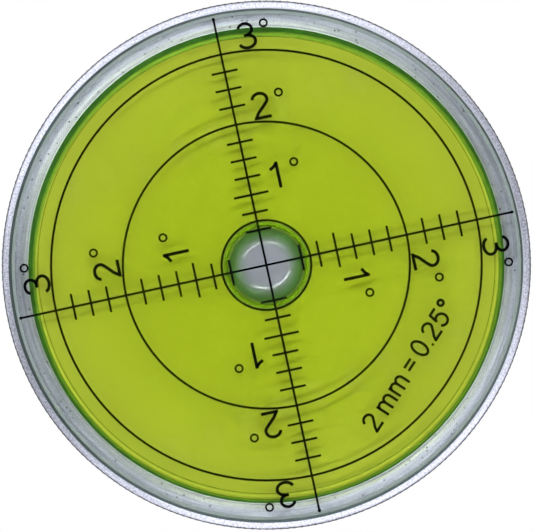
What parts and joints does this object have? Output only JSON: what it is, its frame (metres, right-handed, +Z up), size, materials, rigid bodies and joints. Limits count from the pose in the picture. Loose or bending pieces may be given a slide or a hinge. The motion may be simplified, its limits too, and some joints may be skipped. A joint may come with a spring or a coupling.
{
  "type": "bullseye level",
  "caption": "Round bullseye level: a turned aluminium cup with a knurled side holds a sealed clear vial with tinted liquid, a centred bubble and a printed cross-and-ring dial marked in degrees.",
  "frame": {"origin": "centre of the case's flat underside", "axes": "+Z up through the dial, +X and +Y along the printed cross lines"},
  "size_m": [0.06, 0.06, 0.012],
  "materials": {
    "case_metal": "fine bead-blasted rim, turned floor, knurled side",
    "adhesive": "cured resin",
    "clear_acrylic": "polished",
    "base_plastic": "fine matte",
    "tinted_liquid": "clear yellow-green",
    "gas": "clear",
    "ink": "printed"
  },
  "bodies": {
    "root": {"case": "case_metal", "adhesive_pad": "adhesive", "vial_body": "clear_acrylic", "vial_base": "base_plastic", "liquid": "tinted_liquid", "bubble": "gas", "dial_print": "ink"}
  },
  "joints": []
}
